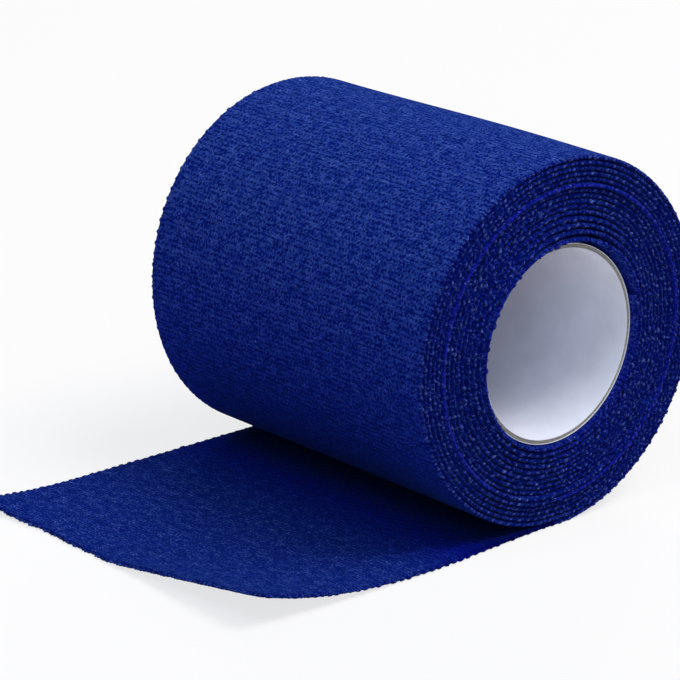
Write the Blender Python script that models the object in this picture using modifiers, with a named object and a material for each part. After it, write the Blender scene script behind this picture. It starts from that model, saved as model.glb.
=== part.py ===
"""A cohesive bandage: a crepe strip wound on a cardboard core, its loose end lying in front.

The roll's axis lies along X, above the origin. The strip leaves the roll underneath and runs
out towards -Y on the surface z = 0. The origin is on that surface, under the middle of the roll.
Angles round the roll are measured from straight down, through +Y, up to the top and on to -Y,
which is the way the strip winds inwards from its loose end.
"""

from collections import namedtuple
from math import acos, cos, pi, radians, sin

import bmesh
import bpy

# Driving dimensions, in metres.
BAND_WIDTH = 0.080  # along the roll's axis
TURN_PITCH = 0.00105  # one thickness of crepe as it is wound
TURNS = 16.3
CORE_RADIUS = 0.0201  # outside of the cardboard tube
CORE_WALL = 0.0010
CORE_INSET = 0.0010  # each end of the core lies this far inside the roll's end
CORE_CHAMFER = 0.0002
GAP = 0.0003  # between the core and the cloth
TAPER = 0.0002  # the roll is wound this much fuller at its +X end and leaner at its -X end
FLAT_DEPTH = 0.00022  # how far the roll has settled on its underside
LOOSE_LENGTH = 0.0785  # from under the roll's axis to the cut end
LOOSE_SPREAD = 0.0005  # the slack cloth is this much wider at each selvedge
LOOSE_DRIFT = 0.0009  # the slack cloth lies this far towards +X
SPREAD_RUN = 0.030  # the cloth reaches its slack width over this run
NEAR_LIFT = 0.0064  # height of the curled corner at +X
NEAR_LIFT_RUN = 0.048  # how far back from the cut end that curl starts
NEAR_LIFT_REACH = 0.040  # how far it reaches across from the +X selvedge
NEAR_LIFT_POWER = 2.6
FAR_LIFT = 0.0014  # height of the corner at -X
FAR_LIFT_RUN = 0.022
FAR_LIFT_REACH = 0.020
FAR_OVERHANG = 0.0015  # how much further out the cut reaches at the -X corner

# Facets.
SHARP_ANGLE = radians(35)
RING_STEPS = 80
LOOSE_STEPS = 14
CORE_STEPS = 64
CREASE_OFFSET = 0.0005  # half the slant of the line where the strip leaves the roll

# Stations across the width, as shares of its half. The curled side has the closer ones.
STATIONS = (-1.0, -0.84, -0.66, -0.42, -0.16, 0.06, 0.26, 0.46, 0.66, 0.84, 1.0)

# How far groups of turns have slipped along the axis, from the outermost turn inwards.
Slip = namedtuple("Slip", "turn shift")
SLIPS = (
    Slip(turn=0.5, shift=0.0),
    Slip(turn=4.7, shift=0.0),
    Slip(turn=5.1, shift=0.0006),
    Slip(turn=6.0, shift=0.0006),
    Slip(turn=6.5, shift=-0.0002),
    Slip(turn=12.0, shift=-0.0004),
    Slip(turn=13.4, shift=-0.0005),
    Slip(turn=13.8, shift=0.0002),
    Slip(turn=14.8, shift=0.0002),
    Slip(turn=15.2, shift=-0.0005),
)

# Worked out from the sizes above.
BORE_RADIUS = CORE_RADIUS + GAP
OUTER_RADIUS = BORE_RADIUS + TURNS * TURN_PITCH
AXIS_HEIGHT = OUTER_RADIUS - FLAT_DEPTH
FLAT_ANGLE = acos(AXIS_HEIGHT / OUTER_RADIUS)
FLAT_HALF = OUTER_RADIUS * sin(FLAT_ANGLE)
CORE_LENGTH = BAND_WIDTH - 2 * CORE_INSET

CLOTH_BLUE = (0.012, 0.035, 0.250, 1.0)
CORE_WHITE = (0.75, 0.76, 0.80, 1.0)


def clear_scene():
    """Removes what the scene holds."""
    for item in list(bpy.data.objects):
        bpy.data.objects.remove(item, do_unlink=True)


def make_material(name, color, roughness):
    material = bpy.data.materials.new(name)
    material.use_nodes = True
    shader = material.node_tree.nodes["Principled BSDF"]
    shader.inputs["Base Color"].default_value = color
    shader.inputs["Roughness"].default_value = roughness
    shader.inputs["Metallic"].default_value = 0.0
    return material


def past(place, end, run):
    """How far a place has come into the run that leads up to an end: 0 before it, 1 there."""
    return max(0.0, (place - end + run) / run)


def loose_lift(x, y):
    """Height of the slack cloth: two corners curl up, the one at +X much more."""
    half = BAND_WIDTH / 2
    near = past(-y, LOOSE_LENGTH, NEAR_LIFT_RUN) ** NEAR_LIFT_POWER
    near *= past(x, half, NEAR_LIFT_REACH)
    far = past(-y, LOOSE_LENGTH, FAR_LIFT_RUN) ** 2
    far *= past(-x, half, FAR_LIFT_REACH) ** 2
    return NEAR_LIFT * near + FAR_LIFT * far


def loose_point(share, step, top):
    """A point of the slack cloth at a share of the half width and a step from the crease."""
    half = BAND_WIDTH / 2
    overhang = FAR_OVERHANG * past(-share * half, half, FAR_LIFT_REACH) ** 2
    root = FLAT_HALF + (CREASE_OFFSET if top else -CREASE_OFFSET)
    out = root + (LOOSE_LENGTH + overhang - root) * step / LOOSE_STEPS
    slack = min(1.0, (out - FLAT_HALF) / SPREAD_RUN)
    x = share * (half + LOOSE_SPREAD * slack) + LOOSE_DRIFT * slack
    return (x, -out, loose_lift(x, -out) + (TURN_PITCH if top else 0.0))


def ring_outline(share):
    """The roll's outside at a share of its half width: one spiral turn and a flat underside.

    The radius falls by one pitch in the turn. The last two points go down the step that this
    leaves at the crease and along the flat underside, back towards the first.
    """
    start = OUTER_RADIUS + TAPER * share
    points = []
    for step in range(RING_STEPS + 1):
        angle = FLAT_ANGLE + (2 * pi - 2 * FLAT_ANGLE) * step / RING_STEPS
        radius = start - TURN_PITCH * angle / (2 * pi)
        points.append((radius * sin(angle), start - FLAT_DEPTH - radius * cos(angle)))
    points[0] = (FLAT_HALF, 0.0)
    points[-1] = (-(FLAT_HALF + CREASE_OFFSET), TURN_PITCH)
    points.append((-(FLAT_HALF - CREASE_OFFSET), 0.0))
    return points


def ring_inward(outline, share):
    """The same outline drawn in towards the bore: share 0 is the outside, 1 the bore."""
    bore = BORE_RADIUS / cos(pi / RING_STEPS)
    points = []
    for y, z in outline:
        rise = z - AXIS_HEIGHT
        radius = (y * y + rise * rise) ** 0.5
        scale = (radius + (bore - radius) * share) / radius
        points.append((y * scale, AXIS_HEIGHT + rise * scale))
    return points


def add_points(mesh, points):
    return [mesh.verts.new(point) for point in points]


def bridge(mesh, first, second, closed=True):
    """Quads between two rows with the same number of points."""
    count = len(first)
    for index in range(count if closed else count - 1):
        after = (index + 1) % count
        mesh.faces.new((first[index], first[after], second[after], second[index]))


def end_rows(mesh, side, outer_row):
    """The end face: rows drawn in from the outside to the bore, slipped turn by turn."""
    outline = ring_outline(side)
    rows = [outer_row]
    for slip in SLIPS:
        flat = ring_inward(outline, slip.turn / TURNS)
        x = side * BAND_WIDTH / 2 + slip.shift
        rows.append(add_points(mesh, [(x, y, z) for y, z in flat]))
    x = side * BAND_WIDTH / 2 + SLIPS[-1].shift
    rows.append(add_points(mesh, [(x, y, z) for y, z in ring_inward(outline, 1.0)]))
    for outer, inner in zip(rows, rows[1:]):
        bridge(mesh, outer, inner)
    return rows[-1]


def build_bandage():
    """The whole strip as one body: the wound turns, and the loose end lofted across the width."""
    mesh = bmesh.new()
    sections = []
    for share in STATIONS:
        x = share * BAND_WIDTH / 2
        ring = add_points(mesh, [(x, y, z) for y, z in ring_outline(share)])
        steps = range(1, LOOSE_STEPS + 1)
        above = add_points(mesh, [loose_point(share, step, True) for step in steps])
        below = add_points(mesh, [loose_point(share, step, False) for step in steps])
        sections.append((ring, above, below))
    for (ring_a, above_a, below_a), (ring_b, above_b, below_b) in zip(sections, sections[1:]):
        bridge(
            mesh,
            ring_a[:-1] + above_a + below_a[::-1] + ring_a[-1:],
            ring_b[:-1] + above_b + below_b[::-1] + ring_b[-1:],
        )
    bores = []
    for side, (ring, above, below) in ((-1, sections[0]), (1, sections[-1])):
        bores.append(end_rows(mesh, side, ring))
        bridge(mesh, [ring[-2]] + above, [ring[-1]] + below, closed=False)
    bridge(mesh, bores[0], bores[1])
    bmesh.ops.recalc_face_normals(mesh, faces=mesh.faces)
    data = bpy.data.meshes.new("bandage")
    mesh.to_mesh(data)
    mesh.free()
    item = bpy.data.objects.new("bandage", data)
    data.shade_smooth()
    data.set_sharp_from_angle(angle=SHARP_ANGLE)
    return item


def build_core():
    """The cardboard tube: a chamfered wall profile turned about Z, then laid along X."""
    half = CORE_LENGTH / 2
    inner = CORE_RADIUS - CORE_WALL
    cut = CORE_CHAMFER
    profile = (
        (CORE_RADIUS - cut, half),
        (CORE_RADIUS, half - cut),
        (CORE_RADIUS, -half + cut),
        (CORE_RADIUS - cut, -half),
        (inner + cut, -half),
        (inner, -half + cut),
        (inner, half - cut),
        (inner + cut, half),
    )
    data = bpy.data.meshes.new("core")
    edges = [(index, (index + 1) % len(profile)) for index in range(len(profile))]
    data.from_pydata([(radius, 0.0, height) for radius, height in profile], edges, [])
    item = bpy.data.objects.new("core", data)
    turn = item.modifiers.new("turn", "SCREW")
    turn.axis = "Z"
    turn.steps = CORE_STEPS
    turn.render_steps = CORE_STEPS
    turn.use_merge_vertices = True
    turn.merge_threshold = 0.00001
    turn.use_smooth_shade = True
    item.rotation_euler = (0.0, radians(90), 0.0)
    item.location = (0.0, 0.0, AXIS_HEIGHT)
    return item


def main():
    clear_scene()
    collection = bpy.data.collections.new("cohesive_bandage_roll")
    bpy.context.scene.collection.children.link(collection)
    bandage = build_bandage()
    bandage.data.materials.append(make_material("crepe", CLOTH_BLUE, 0.9))
    core = build_core()
    core.data.materials.append(make_material("cardboard", CORE_WHITE, 0.55))
    for item in (bandage, core):
        collection.objects.link(item)


main()
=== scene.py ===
"""Looks of a cohesive bandage roll: a blue crepe strip wound on a cardboard core.

The strip is followed by its picks, the weft yarns, counted from under the roll's axis: below zero
on the loose end in front, above zero on the turns, inwards to the core. Across its width it is
followed by its columns, the pairs of warp yarns. Column and pick are also the cloth's UV map.
"""

from math import cos, pi, radians, sin

import bpy
import numpy as np
from bpy.props import FloatProperty, FloatVectorProperty, PointerProperty
from bpy.types import Operator, Panel, PropertyGroup
from mathutils import Matrix, Vector


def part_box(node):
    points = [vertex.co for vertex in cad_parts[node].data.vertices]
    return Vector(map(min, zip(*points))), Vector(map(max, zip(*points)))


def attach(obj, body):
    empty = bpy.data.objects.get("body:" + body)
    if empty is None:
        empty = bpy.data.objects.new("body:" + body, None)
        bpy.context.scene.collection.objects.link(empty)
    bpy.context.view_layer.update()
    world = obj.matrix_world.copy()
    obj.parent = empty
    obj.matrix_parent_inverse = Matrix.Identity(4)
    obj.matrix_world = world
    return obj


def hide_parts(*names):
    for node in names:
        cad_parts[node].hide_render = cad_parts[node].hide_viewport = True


bl_info = {
    "name": "Cohesive bandage roll",
    "version": (1, 0, 0),
    "blender": (4, 5, 0),
    "location": "View3D > Sidebar > Bandage",
    "description": "Builds a wound crepe bandage with its loose end, its core and a plain studio",
    "category": "Add Mesh",
}

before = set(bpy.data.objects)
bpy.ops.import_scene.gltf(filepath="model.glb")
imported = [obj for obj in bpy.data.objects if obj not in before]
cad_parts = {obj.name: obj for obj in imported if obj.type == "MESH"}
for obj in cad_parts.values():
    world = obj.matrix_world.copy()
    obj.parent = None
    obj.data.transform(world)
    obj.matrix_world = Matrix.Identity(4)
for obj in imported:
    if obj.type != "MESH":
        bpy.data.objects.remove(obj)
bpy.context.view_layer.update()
CLOTH_LOW, CLOTH_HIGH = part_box("bandage")
CORE_LOW, CORE_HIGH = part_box("core")

MM = 0.001
TURN = 2 * pi

# The roll. Its outside loses one pitch of radius in each turn, and so a quarter of one from
# underneath to the side at +Y.
TURN_PITCH = 1.05 * MM
TAPER = 0.20 * MM  # the roll is fuller by this at +X and leaner at -X
FLAT_DEPTH = 0.22 * MM  # it has settled on its underside by this
CORE_GAP = 0.3 * MM  # from the core to the first turn
CORE_INSET = 1.0 * MM  # from the strip's edges to the core's ends
FAR_OVERHANG = 1.5 * MM  # the cut's far corner lies further out
OUTER_RADIUS = CLOTH_HIGH.y - TAPER + TURN_PITCH / 4
CORE_RADIUS = (CORE_HIGH.z - CORE_LOW.z) / 2
CORE_HEIGHT = (CORE_HIGH.z + CORE_LOW.z) / 2
BORE_RADIUS = CORE_RADIUS + CORE_GAP
WIDTH = (CORE_HIGH.x - CORE_LOW.x) + 2 * CORE_INSET
LOOSE_LENGTH = -CLOTH_LOW.y - FAR_OVERHANG

# The loose end widens and moves to +X as it slackens, and its two corners curl up.
SPREAD = 0.8 * MM
DRIFT = 1.1 * MM
SPREAD_START = 4.0 * MM  # out of the roll
SPREAD_RUN = 30.0 * MM
NEAR_LIFT = 6.4 * MM
NEAR_LIFT_RUN = 48.0 * MM  # back from the cut
NEAR_LIFT_REACH = 44.0 * MM  # in from the selvedge
NEAR_LIFT_POWER = 2.6
SOFT_START = 0.15
FAR_LIFT = 1.4 * MM
FAR_LIFT_RUN = 22.0 * MM
FAR_LIFT_REACH = 20.0 * MM

# How far the turns have slipped along the axis, counted from the outermost inwards.
SLIP_TURNS = (0.5, 4.7, 5.1, 5.9, 6.4, 10.0, 15.0)
SLIPS = (0.0, 0.0, 0.6, 0.6, -0.2, -0.1, 0.1)  # mm
WANDER = ((0.07 * MM, 0.83, 1.0), (0.05 * MM, 1.91, 0.0))  # sines: reach, rate and phase
WANDER_START = 2.0  # from this turn they wander fully
LEAN_TURNS = (9.0, 14.7)  # between these they lean out more and more
LEAN_ANGLE = radians(215)
LEAN = 1.5 * MM
PROUD_TURNS = (5.0, 5.9)  # the one that stands out and is lit
INNER_TURNS = 1.3  # last turns on the core, lit too

# Each innermost turn climbs over the strip's start near the end of its round, and the last one is
# drawn in to the core.
HUG_END = 0.85  # share of the round
HUG_TURNS = 5.0
HUG_IN = 0.2 * MM
HUG_IN_TURNS = (0.85, 1.5)  # turns from the start: drawn in up to one, not past the other

# The outer turn's far selvedge flares where it comes over the top.
FLARE_ANGLE = radians(215)
FLARE_SPREAD = radians(45)
FLARE_REACH = 12.0 * MM
FLARE_OUT = 0.25 * MM
FLARE_ASIDE = 0.7 * MM

# The turns are a little fuller over the top, towards the near end.
CROWN_ANGLE = radians(157)
CROWN_SPREAD = radians(50)
CROWN_PLACE = 12.0 * MM
CROWN_REACH = 30.0 * MM
CROWN_RISE = 0.5 * MM

# The weave.
COLUMNS = 41  # warp columns across the strip
STEPS_PER_COLUMN = 4
STEPS_PER_PICK = 2
CLOTH_THICKNESS = 0.86 * MM
RIDGE_RISE = 0.05 * MM
HUMP_RISE = 0.02 * MM
SLOT_DEPTH = 0.07 * MM
BODY_INSET = 0.45 * MM  # from the woven body's edge to the selvedge
CREASE = -1e-9  # the loose end's last pick
TUCK = 6  # picks of the outer turn that go on under itself
BACK_STRIDE = 6  # steps of its face to one of its back
WOUND_COLUMNS = 9
WOUND_STEP = 2  # picks between two rows of the hidden turns

# The selvedges.
CORD_INSET = 0.60 * MM
CORD_ACROSS = 0.40 * MM
CORD_RISE = 0.36 * MM
CORD_SWELL = 0.10
CORD_SIDES = 7
CORD_MAP = (0.3, 0.2)  # columns inside the edge, and half its span
LOOP_OUT = 0.20 * MM  # of a strong loop past the even edge
LOOP_YARN = 0.25 * MM
LOOP_THIN = 0.25  # at a loop's feet
LOOP_REACH = 0.80 * MM
LOOP_ROUND = 0.7  # power of the sine
LOOP_SPAN = 0.42  # half its length, in picks
LOOP_TILT = 0.20 * MM
LOOP_RINGS = 5
LOOP_SIDES = 6
LOOP_SEED = 11
WEAK_LOOP = 0.72  # size of every other loop
WEAK_TILT = -0.5
SLACK_LOOP = 0.30  # larger by this on the loose end
RAGGED = 1.6  # less even by this on the inner turns
RAGGED_TURNS = (5.5, 7.5)
SIZE_CHANCE = 0.08  # standard deviation
TILT_CHANCE = 0.3
FUZZ_CHANCE = 0.025 * MM
PLACE_CHANCE = 0.06
RISE_CHANCE = 0.05 * MM
GLOW_CHANCE = 0.20

# Painted light and shade on the cloth's colour.
EDGE_VIOLET = 0.4  # share of violet blue at the turns' edges
# Painted shade: on the loose end as it slackens, and on the hidden turns, cords and loops between
# the turns.
SLACK_SHADE = 0.42
TURN_SHADE = 0.7
CORD_SHADE = 0.65
LOOP_SHADE = 0.52
FOOT_SHADE = 0.25  # more painted shade at a loop's feet
TURN_LIGHT = 0.50  # painted light: off these shades where they are lit
CORD_LIGHT = 0.80
LOOP_LIGHT = 0.77
INNERMOST_LIT = 0.3
PROUD_LIT = (0.6, 0.95)  # strong and weak loops of the proud turn
LOOP_GLOW = (0.25, 0.04)  # how pale their crests are: pale fibres, and a painted sheen
GLOW_MOST = 0.8
GLOW_SPREAD = 0.2
# Painted shadow where the roll meets the loose end, and on the outer turn's front towards its
# underside.
WEDGE = (14.5 * MM, 40.0 * MM)  # the loose end's painted shadow is full up to one, and gone from the other
WEDGE_SHADOW = 1.6
UNDER = (radians(236), radians(330))  # angles where the outer turn's painted shadow grows
UNDER_SHADOW = 1.15
SHADOW_TINT = (0.0, 0.02, 0.82)  # share of the colour that a painted shadow of 1 leaves
SHADOW_BLACK = (0.0, 0.0, 0.01)  # colour at a painted shadow of 2

# The cut end.
SCALLOP = 0.30 * MM  # depth of the cut between two warp yarns
CORNER = 4.0 * MM  # length of the worn near corner
CORNER_BACK = 1.0 * MM
CUT_BELLS = ((-0.5 * MM, -23.0 * MM, 6.0 * MM), (0.25 * MM, -1.5 * MM, 4.0 * MM))
CUT_WAVER = ((0.10 * MM, 1 / (0.9 * MM), 0.0), (0.10 * MM, 1 / (0.53 * MM), 1.0))
FRAY_POWER = 8  # of the way by which its waver fades
STUBS_PER_COLUMN = 2
STUB_YARN = 0.30 * MM
STUB_REACH = 0.45 * MM
STUB_START = 0.35 * MM  # inside the cut
STUB_TAPER = 0.5
STUB_YARN_CHANCE = (0.7, 1.3)
STUB_REACH_CHANCE = (0.2, 1.5)
STUB_LEAN = 0.35
STUB_FUZZ = 0.04 * MM
STUB_RISE = 0.10 * MM
STUB_RINGS = 4
STUB_SIDES = 6
STUB_SEED = 5

# The crepe's noises: cells per mm across and along, detail, and roughness if it isn't 0.5.
NOISES = {
    "stroke": (1.0, 2.0, 2.0, 0.55),
    "fuzz": (3.2, 1.9, 1.0),
    "grain": (5.0, 5.0, 1.0),
    "cloud": (0.45, 0.45, 2.0),
    "hair": (4.5, 1.6, 1.0),
    "calm": (0.16, 0.16, 1.0),
    "hue": (0.35, 0.35, 2.0),
    "patch": (0.9, 0.9, 1.0),
}
# The smooth steps of its material: from, to, and what they give if that isn't 0 and 1.
STEPS = {
    "calm": (0.3, 0.7, 0.7, 1.2),  # to contrast
    "hue": (0.35, 0.65),  # from violet to royal blue
    "crest": (0.0, 0.65),  # light, from the deep colour
    "standing": (0.5, 1.15),  # light, to the fuzz colour
    "stray": (0.60, 0.74),  # hair noise
    "stray_cloud": (0.42, 0.7, 0.12, 0.9),  # how many of them show
    "patchy": (0.3, 0.7, 0.35, 1.0),  # fuzz noise on a pale crest
    "dash": (1.6, 0.2),  # squared distance to depth
    "patch": (0.30, 0.62, 0.45, 1.0),  # to a dash's strength
}
LIGHT_REACH = {"stroke": 2.4, "fuzz": 2.3, "grain": 1.4, "cloud": 1.4}
HEIGHTS = {"stroke": 0.24, "fuzz": 0.13}  # mm of bump
BASE_LIGHT = 0.70
SHADE_DEPTH = 0.72
VIOLET = 0.6  # share of red and green that it keeps
DASH_DEPTH = 1.85
DASH_HEIGHT = 0.10  # mm of bump
DASH_ACROSS = 0.34 * MM
DASH_ALONG = 0.26 * MM
DASH_ASIDE = 0.49 * MM  # from a crossing's middle
DASH_JITTER = (0.22, 0.26)  # of a column, and of a pick
WEAK_DASH = 0.3

# The core and the floor.
BOARD_RECESS = 0.12 * MM
RIM_EASE = 0.04 * MM
CORE_STEPS = 160
SHARP_ANGLE = radians(50)
FLOOR_REACH = 6.0
FLOOR_SIDES = 96
FLOOR_COLOR = (0.20, 0.185, 0.18, 1.0)

# Soft boxes round the roll: compass angle from +X towards +Y, height angle, watts and colour.
SOFT_BOXES = (
    ("back_right", 45, 60, 41.0, (1.0, 1.0, 1.0)),
    ("right", 0, 60, 12.0, (1.0, 1.0, 1.0)),
    ("front", 270, 60, 17.0, (0.5, 0.75, 1.0)),
    ("front_right", 315, 30, 14.0, (0.6, 0.8, 1.0)),
    ("back_left", 135, 30, 18.0, (1.0, 1.0, 1.0)),
)
SOFT_BOX_DISTANCE = 2.25
SOFT_BOX_SIZE = 1.25


# ---- settings


def setting(name, description, default, **kind):
    """The property of a number, or of a colour where the default is a tuple."""
    values = {"name": name, "description": description, "default": default, **kind}
    if isinstance(default, tuple):
        return FloatVectorProperty(size=3, subtype="COLOR", **values)
    return FloatProperty(**values)


class StripSettings(PropertyGroup):
    """Sizes and colours of the crepe strip."""

    width: setting("Width", "Of the wound strip, from selvedge to selvedge", WIDTH, unit="LENGTH")
    turns: setting("Turns", "On the core", (OUTER_RADIUS - BORE_RADIUS) / TURN_PITCH - 1)
    wound_pick: setting("Wound pick", "Between two picks of the roll", 1.14 * MM, unit="LENGTH")
    slack_pick: setting("Slack pick", "Between two picks at the cut", 0.80 * MM, unit="LENGTH")
    crest_color: setting("Crest colour", "Royal blue of the yarns", (0.0062, 0.0205, 0.172))
    # The deep colour is where the painted shade and the weave's dark gaps go.
    deep_color: setting("Deep colour", "Navy between the picks", (0.0002, 0.0035, 0.095))
    fuzz_color: setting("Fuzz colour", "Blue of the standing fibres", (0.026, 0.054, 0.258))
    edge_color: setting("Edge colour", "Violet blue of the selvedges", (0.007, 0.009, 0.240))
    pale_color: setting("Pale colour", "Of loops' crests and loose fibres", (0.13, 0.18, 0.50))


class CoreSettings(PropertyGroup):
    """Sizes and colours of the cardboard core."""

    wall: setting("Wall", "Thickness of the cardboard tube's wall", 1.0 * MM, unit="LENGTH")
    paper: setting("Paper", "Thickness of each of the white papers", 0.16 * MM, unit="LENGTH")
    paper_color: setting("Paper colour", "White of the coated paper", (0.65, 0.65, 0.73))
    board_color: setting("Board colour", "Grey-beige of the bare rims", (0.36, 0.34, 0.29))


class StageSettings(PropertyGroup):
    """Floor, light and camera."""

    azimuth: setting("Azimuth", "Of the camera, 0 at -Y", radians(46.934), subtype="ANGLE")
    elevation: setting("Elevation", "Of the camera", radians(18.202), subtype="ANGLE")
    roll: setting("Roll", "Of the camera about its own axis", radians(0.920), subtype="ANGLE")
    distance: setting("Distance", "From camera to middle of the roll", 781.1 * MM, unit="LENGTH")
    lens: setting("Lens", "Focal length on a sensor 36 mm wide", 206.9, unit="CAMERA")
    aim_side: setting("Aim aside", "Left of the middle", radians(1.167), subtype="ANGLE")
    aim_down: setting("Aim down", "Below the middle", radians(0.644), subtype="ANGLE")
    dome: setting("Dome light", "Strength of the even white light from all round", 0.05)
    light: setting("Soft boxes", "Their brightness, where 1 is their own power", 0.96)
    floor_glow: setting("Floor glow", "Light that the floor gives off, like a light table", 0.74)


# ---- the strip's path


class Winding:
    """Where a pick, a place across the strip and a rise out of its middle surface lie in space."""

    def __init__(self, strip):
        self.half = strip.width / 2
        self.column = strip.width / COLUMNS
        self.body_edge = COLUMNS / 2 - BODY_INSET / self.column
        self.turns = strip.turns
        self.middle = OUTER_RADIUS - TURN_PITCH / 2
        self.wound_pick = strip.wound_pick
        self.slack_pick = strip.slack_pick
        self.shrink = (strip.wound_pick - strip.slack_pick) / LOOSE_LENGTH
        self.first_pick = -np.log(strip.wound_pick / strip.slack_pick) / self.shrink
        self.last_pick = self.pick_at(TURN * strip.turns)
        self.first_step = np.ceil(self.first_pick * STEPS_PER_PICK) / STEPS_PER_PICK

    def angle(self, pick):
        """Angle round the roll from straight down: the spiral's length middle*a - pitch*a²/4π
        equals pick times the wound pick pitch, solved for a."""
        run = np.clip(pick, 0.0, self.last_pick) * self.wound_pick
        return (self.middle - np.sqrt(self.middle**2 - TURN_PITCH * run / pi)) * TURN / TURN_PITCH

    def pick_at(self, angle):
        """The pick at an angle round the roll, from the same length."""
        return (self.middle * angle - TURN_PITCH * angle**2 / (4 * pi)) / self.wound_pick

    def out(self, pick):
        """How far out of the roll a pick of the loose end lies. The pick pitch falls evenly from
        the wound one to the slack one, so the place is (1 - exp(shrink*pick)) * pitch / shrink."""
        return (1 - np.exp(self.shrink * np.minimum(pick, 0.0))) * self.wound_pick / self.shrink

    def slip(self, angle):
        """How far a turn has slipped along the axis: the table's line, a slow wander, and on the
        inner turns a lean by half of one and the cosine of the angle from its place."""
        turn = angle / TURN
        wander = waves(angle, WANDER) * np.clip(turn / WANDER_START, 0.0, 1.0)
        lean = LEAN * ease(turn, *LEAN_TURNS) * (1 + np.cos(angle - LEAN_ANGLE)) / 2
        return np.interp(turn, SLIP_TURNS, SLIPS) * MM + wander + lean

    def lift(self, x, out):
        """Height of the loose end: each corner curls up as a power of the way to the cut end
        times a power, or a soft start, of the way to its selvedge."""
        near = past(out, LOOSE_LENGTH, NEAR_LIFT_RUN) ** NEAR_LIFT_POWER
        near = near * soft(past(x, self.half, NEAR_LIFT_REACH))
        far = past(out, LOOSE_LENGTH, FAR_LIFT_RUN) ** 2
        far = far * past(-x, self.half, FAR_LIFT_REACH) ** 2
        return NEAR_LIFT * near + FAR_LIFT * far

    def wound(self, pick, across, rise):
        """A point of the turns: a spiral, pressed flat underneath by what the settled circle would
        reach below the floor, less and less towards the core. The innermost turns keep their
        radius and climb at the end of their round, the last one is drawn in, the far selvedge
        flares by a bell curve of the angle, and the turns swell over the top by bell curves of
        the angle and of the place across."""
        angle = self.angle(pick)
        start = OUTER_RADIUS + TAPER * across / self.half
        left = self.turns - angle / TURN
        hug = left % 1.0 - ease(left % 1.0, HUG_END, 1.0)
        hug = hug * np.maximum(0.0, 1 - left / HUG_TURNS)
        crown = CROWN_RISE * bell(angle % TURN, CROWN_ANGLE, CROWN_SPREAD)
        crown = crown * bell(across, CROWN_PLACE, CROWN_REACH) * left / self.turns
        flare = bell(angle, FLARE_ANGLE, FLARE_SPREAD)
        flare = flare * past(-across, self.half, FLARE_REACH) ** 2
        radius = start - TURN_PITCH * (angle / TURN + 0.5 + hug) + FLARE_OUT * flare + crown + rise
        radius = radius - HUG_IN * (1 - ease(left, *HUG_IN_TURNS))
        y = radius * np.sin(angle)
        z = start - FLAT_DEPTH - radius * np.cos(angle)
        sag = start - np.sqrt(start**2 - y**2)
        press = np.maximum(0.0, FLAT_DEPTH - sag) * (np.cos(angle) > 0)
        z = z + press * (radius - BORE_RADIUS) / (start - BORE_RADIUS)
        return np.stack([across + self.slip(angle) - FLARE_ASIDE * flare, y, z], axis=-1)

    def loose(self, pick, across, rise):
        """A point of the loose end: flat on the floor, a little wider and further to +X as it
        slackens, lifted at its corners, and cut off in a slightly wavy line."""
        share = across / self.half
        out = self.out(pick)
        overhang = FAR_OVERHANG * past(-across, self.half, FAR_LIFT_REACH) ** 2
        fray = cut_wave(across, 2 * self.half) * (out / LOOSE_LENGTH) ** FRAY_POWER
        out = out * (1 + overhang / LOOSE_LENGTH) + fray
        slack = np.clip((out - SPREAD_START) / SPREAD_RUN, 0.0, 1.0)
        x = across + share * SPREAD * slack + DRIFT * slack
        z = self.lift(x, out) + TURN_PITCH / 2 - rise
        return np.stack([x, -out, z], axis=-1)

    def point(self, pick, across, rise):
        """A point of the strip. The rise is out of the middle surface, away from the core on the
        turns and down on the loose end. Nothing goes below the floor."""
        pick, across, rise = np.broadcast_arrays(pick, across, rise)
        points = np.where(
            pick[..., None] >= 0,
            self.wound(pick, across, rise),
            self.loose(pick, across, rise),
        )
        points[..., 2] = np.maximum(points[..., 2], 0.0)
        return points


def past(place, end, run):
    """How far a place has come into the run up to an end: 0 before it, 1 there."""
    return np.maximum(0.0, (place - end + run) / run)


def soft(share):
    """A ramp from 0 at 0 to 1 at 1 that starts level: (1 + start) share² / (share + start)."""
    return (1 + SOFT_START) * share**2 / (share + SOFT_START)


def ease(place, low, high):
    """A smooth step, 3s² - 2s³, of a place from low to high."""
    share = np.clip((place - low) / (high - low), 0.0, 1.0)
    return share**2 * (3 - 2 * share)


def bell(place, middle, spread):
    """A bell curve, exp(-s²), of how many spreads a place is from the middle."""
    return np.exp(-(((place - middle) / spread) ** 2))


def waves(place, sines):
    """The sum of sines of a place, each with its reach, rate and phase."""
    return sum(reach * np.sin(rate * place + phase) for reach, rate, phase in sines)


def cut_wave(across, width):
    """How far the cut strays from its line: one shallow bay and one small bulge, as bell curves,
    a waver of two sines, scallops, |cos(2π column)| - 1, between the warp yarns, and the worn
    corner, as a parabola."""
    bells = sum(reach * bell(across, place, spread) for reach, place, spread in CUT_BELLS)
    scallop = SCALLOP * (np.abs(np.cos(pi * across / width * COLUMNS * STUBS_PER_COLUMN)) - 1)
    corner = CORNER_BACK * past(across, width / 2, CORNER) ** 2
    return bells + waves(across, CUT_WAVER) + scallop - corner


def relief(column, pick):
    """Rise of the weave's face: ridges between the picks, sin²(π pick), and on the picks a
    chequer of slots and humps, cos(π column) cos(π pick), as in a plain weave."""
    ridge = np.sin(pi * pick) ** 2
    chequer = np.cos(pi * column) * np.cos(pi * pick)
    face = RIDGE_RISE * ridge - SLOT_DEPTH * np.maximum(0, chequer)
    return face + HUMP_RISE * np.maximum(0, -chequer)


# ---- light and shade


def slackness(winding, pick):
    """How far the strip has slackened: 0 on the roll, rising smoothly to 1 on the loose end."""
    return ease(-pick, 0.0, SPREAD_RUN / winding.wound_pick)


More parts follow.
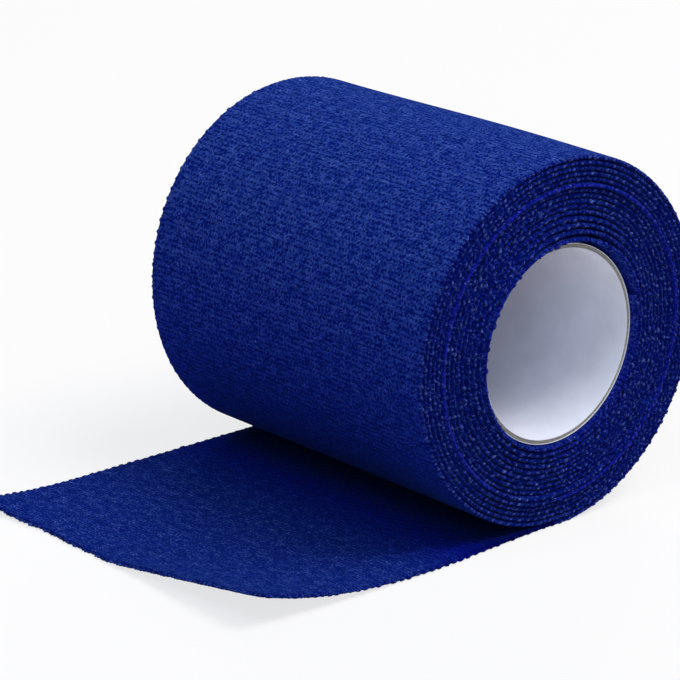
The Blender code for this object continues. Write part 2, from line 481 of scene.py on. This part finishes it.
def proud(winding, pick):
    """1 on the turn that stands out of the roll's end, painted lighter, and 0 on the others."""
    turn = winding.angle(pick) / TURN
    return ((turn > PROUD_TURNS[0]) & (turn < PROUD_TURNS[1])).astype(float)


def innermost(winding, pick):
    """1 on the last turns on the core, painted lighter, and 0 on the others."""
    return (winding.angle(pick) / TURN > winding.turns - INNER_TURNS).astype(float)


def topside(winding, pick, rise):
    """How far a point of the outermost turn's selvedge faces out of the roll, where it is as light
    as
    the cloth, without painted shade: its rise as a share of a loop's yarn."""
    return np.clip(rise / LOOP_YARN, 0.0, 1.0) * (winding.angle(pick) < TURN)


def painted_shadow(winding, pick):
    """Deep painted shadow where the roll meets the loose end, where it falls evenly with the way
    out.
    On the outer turn it grows evenly with the angle."""
    near, clear = WEDGE
    loose = WEDGE_SHADOW * np.clip((clear - winding.out(pick)) / (clear - near), 0.0, 1.0)
    low, high = UNDER
    angle = winding.angle(pick)
    under = UNDER_SHADOW * np.clip((angle - low) / (high - low), 0.0, 1.0)
    return np.where(pick < 0, loose, under * (angle < TURN))


def selvedge_values(winding, pick, rise, slack, bright, shade):
    """A selvedge's attributes: violet blue and in painted shade among the turns, more violet and in
    painted light where bright, like the cloth on the loose end and on the outermost turn's outer
    side, and on the loose end a painted shadow."""
    among = (1 - slack) * (1 - topside(winding, pick, rise))
    return {
        "edge": (EDGE_VIOLET + bright) * among,
        "shade": shade * among + SLACK_SHADE * slack,
        "painted_shadow": painted_shadow(winding, np.minimum(pick, 0.0)),
    }


# ---- meshes


def volume(points, faces):
    """Six times the signed volume inside faces, each taken as a fan of triangles."""
    total = 0.0
    for corner in range(1, faces.shape[1] - 1):
        a, b, c = (points[faces[:, index]] for index in (0, corner, corner + 1))
        total += float((a * np.cross(b, c)).sum())
    return total


def make_piece(name, points, face_sets, uv=None, values=None):
    """A mesh object from points and arrays of faces, turned so that its faces point outwards.
    uv holds a pair for each point, and values a number for each point under each name."""
    points = np.asarray(points, float).reshape(-1, 3)
    if sum(volume(points, faces) for faces in face_sets) < 0:
        face_sets = [faces[:, ::-1] for faces in face_sets]
    mesh = bpy.data.meshes.new(name)
    mesh.from_pydata(points.tolist(), [], [face for faces in face_sets for face in faces.tolist()])
    if uv is not None:
        corners = np.zeros(len(mesh.loops), np.int32)
        mesh.loops.foreach_get("vertex_index", corners)
        layer = mesh.uv_layers.new(name="weave")
        flat = np.asarray(uv, np.float32).reshape(-1, 2)[corners]
        layer.data.foreach_set("uv", flat.ravel())
    for key, numbers in (values or {}).items():
        attribute = mesh.attributes.new(key, "FLOAT", "POINT")
        attribute.data.foreach_set("value", np.asarray(numbers, np.float32).ravel())
    mesh.shade_smooth()
    mesh.update()
    piece = bpy.data.objects.new(name, mesh)
    bpy.context.scene.collection.objects.link(piece)
    return piece


def grid_faces(rows, columns, start=0, around=False):
    """Quads of a grid of points in rows. Around joins each row's end to its beginning."""
    index = start + np.arange(rows * columns).reshape(rows, columns)
    if around:
        index = np.concatenate([index, index[:, :1]], axis=1)
    corners = (index[:-1, :-1], index[:-1, 1:], index[1:, 1:], index[1:, :-1])
    return np.stack(corners, axis=-1).reshape(-1, 4)


def side_faces(first, second):
    """Quads between two lines of points."""
    return np.stack([first[:-1], first[1:], second[1:], second[:-1]], axis=-1)


def end_faces(face_row, back_row, stride):
    """Polygons across an end of the strip, each on stride steps of the face and one of the back."""
    steps = len(face_row) - stride
    spans = np.stack([face_row[k : steps + k : stride] for k in range(stride + 1)], axis=-1)
    return np.concatenate([spans, back_row[1:, None], back_row[:-1, None]], axis=1)


def strip_piece(name, winding, picks, columns, stride, face_relief, rules):
    """A stretch of the strip: the face grid over picks and columns, the back grid over every
    stride-th column, quads along both selvedges and polygons across both ends. Where the stride
    doesn't divide the columns' steps, a corner of each end stays open. Each of the rules gives
    an attribute from the pick."""
    pick, column = np.meshgrid(picks, columns, indexing="ij")
    back_pick, back_column = pick[:, ::stride], column[:, ::stride]
    face_rise = CLOTH_THICKNESS / 2 + face_relief(column, pick)
    back_rise = -CLOTH_THICKNESS / 2 - face_relief(back_column + 1, back_pick)
    face = winding.point(pick, column * winding.column, face_rise)
    back = winding.point(back_pick, back_column * winding.column, back_rise)
    rows, wide, narrow = len(picks), column.shape[1], back_column.shape[1]
    face_index = np.arange(rows * wide).reshape(rows, wide)
    back_index = rows * wide + np.arange(rows * narrow).reshape(rows, narrow)
    face_sets = [
        grid_faces(rows, wide),
        grid_faces(rows, narrow, start=rows * wide)[:, ::-1],
        side_faces(face_index[:, 0], back_index[:, 0]),
        side_faces(face_index[:, -1], back_index[:, -1])[:, ::-1],
        end_faces(face_index[0], back_index[0], stride)[:, ::-1],
        end_faces(face_index[-1], back_index[-1], stride),
    ]
    points = np.concatenate([face.reshape(-1, 3), back.reshape(-1, 3)])
    face_uv = np.stack([column, pick], -1).reshape(-1, 2)
    back_uv = np.stack([back_column + 1, back_pick], -1).reshape(-1, 2)
    uv = np.concatenate([face_uv, back_uv])
    values = {key: rule(uv[:, 1]) for key, rule in rules.items()}
    return make_piece(name, points, face_sets, uv, values)


def body_columns(winding, steps):
    """Places across the woven body, in columns, at even steps and at its two edges."""
    edge = winding.body_edge
    even = np.arange(-int(edge * steps), int(edge * steps) + 1) / steps
    return np.concatenate([[-edge], even, [edge]])


def selvedge_cord(name, winding, side):
    """The edge warps under the loops: a rounded cord carried along the selvedge, whose radius
    swells by a cosine once a pick."""
    picks = np.arange(winding.first_step, winding.last_pick, 1 / STEPS_PER_PICK)
    turn = np.arange(CORD_SIDES) * TURN / CORD_SIDES
    pick, angle = np.meshgrid(picks, turn, indexing="ij")
    swell = 1 + CORD_SWELL * np.cos(TURN * pick)
    across = side * (winding.half - CORD_INSET + CORD_ACROSS * swell * np.cos(angle))
    points = winding.point(pick, across, CORD_RISE * swell * np.sin(angle))
    inside, span = CORD_MAP
    uv = np.stack([side * (COLUMNS / 2 - inside + span * np.cos(angle)), pick], -1)
    # Painted light on the proud and innermost turns lessens the cord's painted shade.
    bright = proud(winding, pick) + INNERMOST_LIT * innermost(winding, pick)
    shade = CORD_SHADE - CORD_LIGHT * bright
    slack = slackness(winding, pick)
    rise = CORD_RISE * np.sin(angle)
    values = selvedge_values(winding, pick, rise, slack, bright, shade)
    return make_piece(name, points, tube_faces(len(picks), CORD_SIDES, 1), uv, values)


def plain_loop(wound_pick):
    """One even loop: a yarn that runs out as sin(πt)^0.7, along the edge as -cos(πt) and from one
    face to the other as cos(πt), and thins to its feet. Gives each point's t, its place on the
    spine and its place about it, both as along, out and rise."""
    t = np.linspace(0, 1, LOOP_RINGS)
    path = np.stack(
        [
            -LOOP_SPAN * wound_pick * np.cos(pi * t),
            LOOP_REACH * (np.sin(pi * t) ** LOOP_ROUND - 1),
            LOOP_TILT * np.cos(pi * t),
        ],
        -1,
    )
    tangent = np.gradient(path, axis=0)
    tangent /= np.linalg.norm(tangent, axis=1, keepdims=True)
    first = np.cross(tangent, (0.0, 0.0, 1.0))
    first /= np.linalg.norm(first, axis=1, keepdims=True)
    second = np.cross(tangent, first)
    radius = LOOP_YARN * (1 - LOOP_THIN * (1 - np.sin(pi * t)))
    turn = (np.arange(LOOP_SIDES) * TURN / LOOP_SIDES)[None, :, None]
    circle = first[:, None] * np.cos(turn) + second[:, None] * np.sin(turn)
    yarn = (radius[:, None, None] * circle).reshape(-1, 3)
    return t.repeat(LOOP_SIDES), path.repeat(LOOP_SIDES, axis=0), yarn


def selvedge_loops(name, winding, side, seed):
    """The weft's turns at the selvedge, one plain loop to a pick, strong and weak by turns, each
    moved and sized by chance. A crest is pale, by a bell curve of t, as pale fibres and a painted
    sheen."""
    draw = np.random.default_rng(seed)
    places = np.arange(np.ceil(winding.first_pick) + 0.5, winding.last_pick - 1)
    count = len(places)
    strong = (np.arange(count) % 2 == 0)[:, None]

    def chance(spread):
        return draw.normal(0, spread, (count, 1))

    slack = slackness(winding, places)[:, None]
    ragged = 1 + RAGGED * ease(winding.angle(places) / TURN, *RAGGED_TURNS)[:, None]
    size = np.where(strong, 1.0 + SLACK_LOOP * slack, WEAK_LOOP)
    size = size * (1 + chance(SIZE_CHANCE) * ragged)
    tilt = np.where(strong, 1.0, WEAK_TILT)
    tilt = tilt * (1 + chance(TILT_CHANCE) * ragged)
    t, spine, yarn = plain_loop(winding.wound_pick)
    fuzz = draw.normal(0, FUZZ_CHANCE, (count, len(t), 3))
    along = places[:, None] + chance(PLACE_CHANCE) * ragged
    along = along + (size * (spine[:, 0] + yarn[:, 0]) + fuzz[..., 0]) / winding.wound_pick
    reach = LOOP_OUT - LOOP_YARN - LOOP_OUT * 2 * (1 - size) + spine[:, 1] + size * yarn[:, 1]
    across = side * (winding.half + reach + fuzz[..., 1])
    rise = tilt * spine[:, 2] + size * yarn[:, 2] + fuzz[..., 2]
    rise = rise + chance(RISE_CHANCE) * ragged
    points = winding.point(along, across, rise)
    uv = np.stack([side * COLUMNS / 2 + rise / winding.column, along], -1)
    glow = np.where(strong, *LOOP_GLOW) + chance(GLOW_CHANCE)
    glow = np.clip(glow, 0.0, GLOW_MOST) * (1 - slack)
    # Painted light on the proud and innermost loops, painted shade on the others, more at their
    # feet.
    bright = proud(winding, along) * np.where(strong, *PROUD_LIT)
    bright = bright + INNERMOST_LIT * innermost(winding, along)
    crest = np.clip((spine[:, 1] + yarn[:, 1]) / (LOOP_YARN / 2), 0, 1)
    shade = LOOP_SHADE + FOOT_SHADE * (1 - crest) - LOOP_LIGHT * bright
    values = {
        "pale": crest * bell(t, 0.5, GLOW_SPREAD) * glow * (1 - bright),
        **selvedge_values(winding, along, rise, slack, bright, shade),
    }
    return make_piece(name, points, tube_faces(LOOP_RINGS, LOOP_SIDES, count), uv, values)


def cut_yarns(name, winding, seed):
    """The warp yarns' ends at the cut, two to a column: a ring carried out over the cut whose
    radius falls as 1 - 0.5t², each yarn with its own length and lean, and fuzzed by chance."""
    draw = np.random.default_rng(seed)
    last = int(winding.body_edge * STUBS_PER_COLUMN)
    middle = np.arange(-last, last + 1)[:, None, None] * winding.column / STUBS_PER_COLUMN
    count = 2 * last + 1
    t = np.linspace(0, 1, STUB_RINGS)[None, :, None]
    turn = (np.arange(STUB_SIDES) * TURN / STUB_SIDES)[None, None, :]
    radius = STUB_YARN * (1 - STUB_TAPER * t**2) * draw.uniform(*STUB_YARN_CHANCE, (count, 1, 1))
    reach = STUB_REACH * draw.uniform(*STUB_REACH_CHANCE, (count, 1, 1))
    lean = draw.normal(0, STUB_LEAN, (count, 1, 1))
    fuzz = draw.normal(0, STUB_FUZZ, (count, STUB_RINGS, STUB_SIDES))
    away = STUB_START * (t - 1) + reach * t
    across = middle + lean * reach * t + radius * np.cos(turn) + fuzz
    rise = radius * np.sin(turn) + draw.normal(0, STUB_RISE, (count, 1, 1)) * t
    pick = np.broadcast_to(winding.first_pick - away / winding.slack_pick, across.shape)
    uv = np.stack([across / winding.column, pick + rise / winding.slack_pick], -1)
    points = winding.point(pick, across, rise)
    return make_piece(name, points, tube_faces(STUB_RINGS, STUB_SIDES, count), uv)


def tube_faces(rings, sides, count):
    """Faces of count tubes of rings: the walls' quads, and a polygon on each end."""
    wall = grid_faces(rings, sides, around=True)
    caps = np.stack([np.arange(sides)[::-1], (rings - 1) * sides + np.arange(sides)])
    offset = (np.arange(count) * rings * sides)[:, None, None]
    return [(wall[None] + offset).reshape(-1, 4), (caps[None] + offset).reshape(-1, sides)]


def turned_layer(name, inside, outside, low, high):
    """A layer of the tube: a rectangular profile with eased corners, turned about the axis."""
    rim = min(RIM_EASE, (outside - inside) / 4)
    out = [inside + rim, outside - rim, outside, outside]
    out = np.array(out + out[1::-1] + [inside, inside])[:, None]
    place = np.array([low, low, low + rim, high - rim, high, high, high - rim, low + rim])[:, None]
    angle = np.arange(CORE_STEPS) * TURN / CORE_STEPS
    y, z = out * np.sin(angle), CORE_HEIGHT - out * np.cos(angle)
    points = np.stack([np.broadcast_to(place, y.shape), y, z], -1)
    faces = grid_faces(len(out) + 1, CORE_STEPS, around=True) % y.size
    piece = make_piece(name, points, [faces])
    piece.data.set_sharp_from_angle(angle=SHARP_ANGLE)
    return piece


# ---- materials


class Shader:
    """A material's nodes, added and linked by short calls."""

    def __init__(self, name):
        self.material = bpy.data.materials.new(name)
        self.material.use_nodes = True
        self.tree = self.material.node_tree
        self.surface = self.tree.nodes["Principled BSDF"]

    def node(self, kind, values=(), **settings):
        """A node with its settings, and its inputs by position as numbers or other sockets."""
        node = self.tree.nodes.new("ShaderNode" + kind)
        for key, value in settings.items():
            setattr(node, key, value)
        for socket, value in zip(node.inputs, values):
            self.give(socket, value)
        return node

    def give(self, socket, value):
        """Links a socket into an input, or sets a number or colour there."""
        if isinstance(value, bpy.types.NodeSocket):
            self.tree.links.new(value, socket)
        elif value is not None:
            socket.default_value = value

    def math(self, operation, *values):
        return self.node("Math", values, operation=operation).outputs[0]

    def plus(self, first, second):
        return self.math("ADD", first, second)

    def minus(self, first, second):
        return self.math("SUBTRACT", first, second)

    def times(self, first, second):
        return self.math("MULTIPLY", first, second)

    def ease(self, value, low, high, to_low=0.0, to_high=1.0):
        """A smooth step of value from low to high."""
        node = self.node("MapRange", interpolation_type="SMOOTHSTEP")
        ends = {"From Min": low, "From Max": high, "To Min": to_low, "To Max": to_high}
        for key, number in {"Value": value, **ends}.items():
            self.give(node.inputs[key], number)
        return node.outputs["Result"]

    def scaled(self, vector, across, along):
        """A place stretched by two factors."""
        factors = (across, along, 1.0)
        return self.node("VectorMath", (vector, factors), operation="MULTIPLY").outputs[0]

    def offset(self, draw, reach):
        """A draw between 0 and 1 as an offset between -reach/2 and reach/2."""
        return self.times(self.minus(draw, 0.5), reach)

    def attribute(self, name):
        return self.node("Attribute", attribute_name=name).outputs["Fac"]

    def noise(self, vector, scale, detail=2.0, rough=0.5):
        node = self.node("TexNoise")
        self.give(node.inputs["Vector"], vector)
        self.give(node.inputs["Scale"], scale)
        self.give(node.inputs["Detail"], detail)
        self.give(node.inputs["Roughness"], rough)
        return node.outputs["Fac"]

    def mix(self, share, first, second, blend="MIX"):
        """A colour between two, by share, or the first one blended with the second."""
        node = self.node("Mix", data_type="RGBA", blend_type=blend)
        self.give(node.inputs["Factor"], share)
        for key, color in (("A", first), ("B", second)):
            socket = next(s for s in node.inputs if s.name == key and s.type == "RGBA")
            self.give(socket, color if isinstance(color, bpy.types.NodeSocket) else (*color, 1.0))
        return next(s for s in node.outputs if s.type == "RGBA")

    def finish(self, sockets, height=None, depth=0.0):
        """Sets the shader's own sockets by name, and bump from a height times a depth."""
        for key, value in sockets.items():
            self.give(self.surface.inputs[key], value)
        if height is not None:
            bump = self.node("Bump")
            self.give(bump.inputs["Strength"], 1.0)
            self.give(bump.inputs["Distance"], depth)
            self.give(bump.inputs["Height"], height)
            self.give(self.surface.inputs["Normal"], bump.outputs["Normal"])
        return self.material


def crepe_material(strip):
    """Blue crepe, drawn in millimetres across and along the strip: navy dashes at the crossings,
    partly painted shade, strokes of fuzzy yarn and stray pale fibres. The attributes: pale
    lightens the selvedges' crests as pale fibres and a painted sheen, edge makes them violet
    blue, shade darkens the yarns as painted shade or lightens them as painted light, and a
    painted shadow darkens all of it."""
    shader = Shader("blue_crepe")
    uv = shader.node("UVMap", uv_map="weave").outputs["UV"]
    split = shader.node("SeparateXYZ", (uv,))
    column, pick = split.outputs["X"], split.outputs["Y"]
    across = shader.times(column, strip.width / COLUMNS / MM)
    along = shader.times(pick, strip.wound_pick / MM)
    place = shader.node("CombineXYZ", (across, along, 0.0)).outputs[0]
    noise = {
        key: shader.noise(shader.scaled(place, *row[:2]), 1.0, *row[2:])
        for key, row in NOISES.items()
    }
    dash = crossing_dashes(shader, strip, column, pick, noise["patch"])

    # The navy dashes darken the light, as the weave's gaps and painted shade in them.
    light = shader.times(dash, -DASH_DEPTH)
    for key, reach in LIGHT_REACH.items():
        light = shader.plus(light, shader.offset(noise[key], reach))
    light = shader.times(light, shader.ease(noise["calm"], *STEPS["calm"]))
    light = shader.plus(light, BASE_LIGHT)
    # Painted shade: the shade attribute takes light off, or adds painted light where it is below
    # zero.
    light = shader.minus(light, shader.times(shader.attribute("shade"), SHADE_DEPTH))

    edge = shader.attribute("edge")
    red, green, blue = strip.crest_color
    hue = shader.ease(noise["hue"], *STEPS["hue"])
    crest = shader.mix(hue, (VIOLET * red, VIOLET * green, blue), (red, green, blue))
    crest = shader.mix(edge, crest, strip.edge_color)
    color = shader.mix(shader.ease(light, *STEPS["crest"]), strip.deep_color, crest)
    standing = shader.times(shader.ease(light, *STEPS["standing"]), shader.minus(1.0, edge))
    color = shader.mix(standing, color, strip.fuzz_color)
    stray = shader.ease(noise["hair"], *STEPS["stray"])
    stray = shader.times(stray, shader.ease(noise["cloud"], *STEPS["stray_cloud"]))
    # Pale crests of the selvedge loops: pale fibres and a painted sheen.
    patchy = shader.ease(noise["fuzz"], *STEPS["patchy"])
    patchy = shader.times(patchy, shader.attribute("pale"))
    color = shader.mix(shader.math("MAXIMUM", stray, patchy), color, strip.pale_color)
    # Painted shadow: up to 1 it tints the colour deep blue, past 1 it takes it towards black.
    depth = shader.attribute("painted_shadow")
    color = shader.mix(depth, color, SHADOW_TINT, blend="MULTIPLY")
    color = shader.mix(shader.minus(depth, 1.0), color, SHADOW_BLACK)

    height = shader.times(dash, -DASH_HEIGHT)
    for key, rise in HEIGHTS.items():
        height = shader.plus(height, shader.times(noise[key], rise))
    sockets = {
        "Base Color": color,
        "Roughness": 0.95,
        "Specular IOR Level": 0.0,
        "Sheen Weight": 0.09,
        "Sheen Roughness": 0.45,
        "Sheen Tint": (0.14, 0.44, 1.0, 1.0),
    }
    return shader.finish(sockets, height, MM)


def crossing_dashes(shader, strip, column, pick, patch):
    """The dark gaps at the crossings of column and pick, partly painted shade: in each, two short
    ellipses side by side, moved a little by chance, weak where column and pick add up to an odd
    number, and stronger in places by the patch noise."""
    near_column = shader.math("ROUND", column)
    near_pick = shader.math("ROUND", pick)
    cell = shader.node("CombineXYZ", (near_column, near_pick, 0.0)).outputs[0]
    chance = shader.node("TexWhiteNoise", (cell,), noise_dimensions="3D").outputs["Color"]
    draws = shader.node("SeparateXYZ", (chance,)).outputs
    across = shader.plus(shader.minus(column, near_column), shader.offset(draws[0], DASH_JITTER[0]))
    across = shader.times(across, strip.width / COLUMNS / DASH_ACROSS)
    aside = shader.minus(shader.math("ABSOLUTE", across), DASH_ASIDE / DASH_ACROSS)
    along = shader.plus(shader.minus(pick, near_pick), shader.offset(draws[1], DASH_JITTER[1]))
    along = shader.times(along, strip.wound_pick / DASH_ALONG)
    far = shader.plus(shader.times(aside, aside), shader.times(along, along))
    parity = shader.math("PINGPONG", shader.plus(near_column, near_pick), 1.0)
    strength = shader.ease(parity, 0.0, 1.0, 1.0, WEAK_DASH)
    strength = shader.times(strength, shader.ease(patch, *STEPS["patch"]))
    return shader.times(shader.ease(far, *STEPS["dash"]), strength)


def paper_material(core):
    """White coated paper with a faint unevenness."""
    shader = Shader("core_paper")
    place = shader.node("TexCoord").outputs["Object"]
    cloud = shader.noise(place, 180.0, 3.0)
    dim = tuple(0.93 * value for value in core.paper_color)
    color = shader.mix(shader.ease(cloud, 0.3, 0.7), dim, core.paper_color)
    fine = shader.noise(place, 2500.0, 2.0)
    sockets = {"Base Color": color, "Roughness": 0.6, "Specular IOR Level": 0.15}
    return shader.finish(sockets, fine, 0.01 * MM)


def board_material(core):
    """Bare grey board, mottled by its short fibres."""
    shader = Shader("core_board")
    place = shader.node("TexCoord").outputs["Object"]
    fibre = shader.noise(place, 1800.0, 3.0, 0.7)
    dark = tuple(0.55 * value for value in core.board_color)
    color = shader.mix(shader.ease(fibre, 0.3, 0.7), dark, core.board_color)
    sockets = {"Base Color": color, "Roughness": 0.9, "Specular IOR Level": 0.1}
    return shader.finish(sockets, fibre, 0.15 * MM)


def floor_material(glow):
    """Plain white floor, lit from within like a light table, so that shadows on it stay faint."""
    shader = Shader("studio_floor")
    sockets = {
        "Base Color": FLOOR_COLOR,
        "Roughness": 0.9,
        "Specular IOR Level": 0.0,
        "Emission Color": (1.0, 1.0, 1.0, 1.0),
        "Emission Strength": glow,
    }
    return shader.finish(sockets)


def dress(piece, material, slot_name, *nodes):
    """Gives a piece its material and its body, and hides the nodes that it stands for. The
    slot name is not used.
    """
    piece.data.materials.append(material)
    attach(piece, "root")
    if nodes:
        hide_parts(*nodes)


def shared(name, make, *arguments):
    """The material of that name, made when it is first asked for."""
    return bpy.data.materials.get(name) or make(*arguments)


def dress_crepe(piece, strip, *nodes):
    """Dresses a piece of the strip in the crepe that they all share."""
    dress(piece, shared("blue_crepe", crepe_material, strip), "crepe", *nodes)


# ---- operators


class BANDAGE_OT_loose_end(Operator):
    """Adds the loose end, flat on the floor with two curled corners"""

    bl_idname = "bandage.loose_end"
    bl_label = "Loose end"

    def execute(self, context):
        strip = context.scene.bandage_strip
        winding = Winding(strip)
        even = np.arange(winding.first_step, 0, 1 / STEPS_PER_PICK)
        picks = np.concatenate([[winding.first_pick], even, [CREASE]])
        columns = body_columns(winding, STEPS_PER_COLUMN)
        # Painted shade as the loose end slackens, and painted shadow near the roll.
        rules = {
            "shade": lambda pick: SLACK_SHADE * slackness(winding, pick),
            "painted_shadow": lambda pick: painted_shadow(winding, pick),
        }
        piece = strip_piece("loose_end", winding, picks, columns, 1, relief, rules)
        dress_crepe(piece, strip)
        yarns = cut_yarns("cut_yarns", winding, STUB_SEED)
        dress_crepe(yarns, strip)
        return {"FINISHED"}


class BANDAGE_OT_outer_turn(Operator):
    """Adds the outermost turn, which shows all round the roll"""

    bl_idname = "bandage.outer_turn"
    bl_label = "Outer turn"

    def execute(self, context):
        strip = context.scene.bandage_strip
        winding = Winding(strip)
        picks = np.arange(0, winding.pick_at(TURN) + TUCK, 1 / STEPS_PER_PICK)
        columns = body_columns(winding, STEPS_PER_COLUMN)
        # Painted shadow on the outer turn's front, growing towards its underside.
        rules = {"painted_shadow": lambda pick: painted_shadow(winding, pick)}
        piece = strip_piece("outer_turn", winding, picks, columns, BACK_STRIDE, relief, rules)
        dress_crepe(piece, strip)
        return {"FINISHED"}


class BANDAGE_OT_wound_turns(Operator):
    """Adds the turns under the outermost one, inwards to the core"""

    bl_idname = "bandage.wound_turns"
    bl_label = "Wound turns"

    def execute(self, context):
        strip = context.scene.bandage_strip
        winding = Winding(strip)
        first = np.floor(winding.pick_at(TURN) + TUCK)
        rows = int((winding.last_pick - first) / WOUND_STEP)
        picks = np.linspace(first, winding.last_pick, rows)
        columns = np.linspace(-winding.body_edge, winding.body_edge, WOUND_COLUMNS)
        # Painted shade on the hidden turns' edges, less on the innermost ones, which are painted
        # lighter.
        rules = {
            "edge": lambda pick: EDGE_VIOLET + 0 * pick,
            "shade": lambda pick: TURN_SHADE - TURN_LIGHT * innermost(winding, pick),
        }
        piece = strip_piece("wound_turns", winding, picks, columns, 1, lambda *_: 0.0, rules)
        dress_crepe(piece, strip, "bandage")
        return {"FINISHED"}


class BANDAGE_OT_selvedges(Operator):
    """Adds the edge cords and the weft's loops along both selvedges"""

    bl_idname = "bandage.selvedges"
    bl_label = "Selvedges"

    def execute(self, context):
        strip = context.scene.bandage_strip
        winding = Winding(strip)
        for side, end in ((1, "near"), (-1, "far")):
            cord = selvedge_cord(f"selvedge_cord_{end}", winding, side)
            loops = selvedge_loops(f"selvedge_loops_{end}", winding, side, LOOP_SEED + side)
            dress_crepe(cord, strip)
            dress_crepe(loops, strip)
        return {"FINISHED"}


class BANDAGE_OT_core(Operator):
    """Adds the cardboard core: grey board between two white papers"""

    bl_idname = "bandage.core"
    bl_label = "Core"

    def execute(self, context):
        core = context.scene.bandage_core
        inside = CORE_RADIUS - core.wall
        board_inside = inside + core.paper
        board_outside = CORE_RADIUS - core.paper
        low, high = CORE_LOW.x, CORE_HIGH.x
        board_low, board_high = low + BOARD_RECESS, high - BOARD_RECESS
        lining = turned_layer("core_lining", inside, board_inside, low, high)
        board = turned_layer("core_board", board_inside, board_outside, board_low, board_high)
        wrap = turned_layer("core_wrap", board_outside, CORE_RADIUS, low, high)
        for piece in (lining, wrap):
            dress(piece, shared("core_paper", paper_material, core), "cardboard")
        dress(board, shared("core_board", board_material, core), "cardboard", "core")
        return {"FINISHED"}


class BANDAGE_OT_stage(Operator):
    """Adds the floor, the light and the camera"""

    bl_idname = "bandage.stage"
    bl_label = "Stage"

    def execute(self, context):
        stage = context.scene.bandage_stage
        add_floor(stage)
        add_light(context.scene, stage)
        add_camera(context.scene, stage)
        context.scene.view_settings.view_transform = "Standard"
        return {"FINISHED"}


def add_floor(stage):
    """A round white floor, wide enough to fill the view."""
    angle = np.arange(FLOOR_SIDES) * TURN / FLOOR_SIDES
    rim = np.stack([FLOOR_REACH * np.cos(angle), FLOOR_REACH * np.sin(angle), 0 * angle], -1)
    mesh = bpy.data.meshes.new("floor")
    mesh.from_pydata(rim.tolist(), [], [list(range(len(rim)))])
    floor = bpy.data.objects.new("floor", mesh)
    bpy.context.scene.collection.objects.link(floor)
    mesh.materials.append(floor_material(stage.floor_glow))


def add_light(scene, stage):
    """A faint white dome, and the round soft boxes, all turned to the roll."""
    world = bpy.data.worlds.new("studio")
    world.use_nodes = True
    background = world.node_tree.nodes["Background"]
    background.inputs["Color"].default_value = (1.0, 1.0, 1.0, 1.0)
    background.inputs["Strength"].default_value = stage.dome
    scene.world = world
    for name, azimuth, elevation, power, color in SOFT_BOXES:
        light = bpy.data.lights.new(name, "AREA")
        light.shape = "DISK"
        light.size = SOFT_BOX_SIZE
        light.energy = power * stage.light
        light.color = color
        az, el = radians(azimuth), radians(elevation)
        toward = Vector((cos(az) * cos(el), sin(az) * cos(el), sin(el)))
        box = bpy.data.objects.new(name, light)
        box.location = toward * SOFT_BOX_DISTANCE
        box.rotation_mode = "QUATERNION"
        box.rotation_quaternion = toward.to_track_quat("Z", "Y")
        scene.collection.objects.link(box)


def add_camera(scene, stage):
    """The camera looks from its azimuth and elevation, a little aside and below the middle."""
    az, el = stage.azimuth, stage.elevation
    back = Vector((sin(az) * cos(el), -cos(az) * cos(el), sin(el)))
    right = Vector((cos(az), sin(az), 0.0))
    up = back.cross(right)
    right, up = (
        cos(stage.roll) * right + sin(stage.roll) * up,
        -sin(stage.roll) * right + cos(stage.roll) * up,
    )
    middle = Vector((0.0, 0.0, CORE_HEIGHT))
    turn = Matrix.Rotation(stage.aim_side, 3, up) @ Matrix.Rotation(-stage.aim_down, 3, right)
    axes = [turn @ axis for axis in (right, up, back)]
    data = bpy.data.cameras.new("camera")
    data.sensor_width = 36.0
    data.lens = stage.lens
    data.clip_start = 0.05
    data.clip_end = 50.0
    camera = bpy.data.objects.new("camera", data)
    matrix = Matrix(axes).transposed().to_4x4()
    matrix.translation = middle + back * stage.distance
    camera.matrix_world = matrix
    scene.collection.objects.link(camera)
    scene.camera = camera


# ---- add-on


class BANDAGE_PT_panel(Panel):
    """Lists the bandage's settings and its operators."""

    bl_idname = "BANDAGE_PT_panel"
    bl_label = "Bandage roll"
    bl_space_type = "VIEW_3D"
    bl_region_type = "UI"
    bl_category = "Bandage"

    def draw(self, context):
        for settings in SETTINGS:
            group = getattr(context.scene, settings)
            for key in group.__annotations__:
                self.layout.prop(group, key)
        for operator in OPERATORS:
            self.layout.operator(operator.bl_idname)


OPERATORS = (
    BANDAGE_OT_stage,
    BANDAGE_OT_core,
    BANDAGE_OT_wound_turns,
    BANDAGE_OT_outer_turn,
    BANDAGE_OT_loose_end,
    BANDAGE_OT_selvedges,
)
SETTINGS = {
    "bandage_strip": StripSettings,
    "bandage_core": CoreSettings,
    "bandage_stage": StageSettings,
}
CLASSES = (*SETTINGS.values(), *OPERATORS, BANDAGE_PT_panel)


def register():
    """Adds the settings, the operators and the panel to Blender."""
    for item in CLASSES:
        bpy.utils.register_class(item)
    for key, settings in SETTINGS.items():
        setattr(bpy.types.Scene, key, PointerProperty(type=settings))


def unregister():
    """Takes them out again."""
    for key in SETTINGS:
        delattr(bpy.types.Scene, key)
    for item in reversed(CLASSES):
        bpy.utils.unregister_class(item)


def main():
    register()
    bpy.ops.bandage.stage()
    bpy.ops.bandage.core()
    bpy.ops.bandage.wound_turns()
    bpy.ops.bandage.outer_turn()
    bpy.ops.bandage.loose_end()
    bpy.ops.bandage.selvedges()


if __name__ == "__main__":
    main()
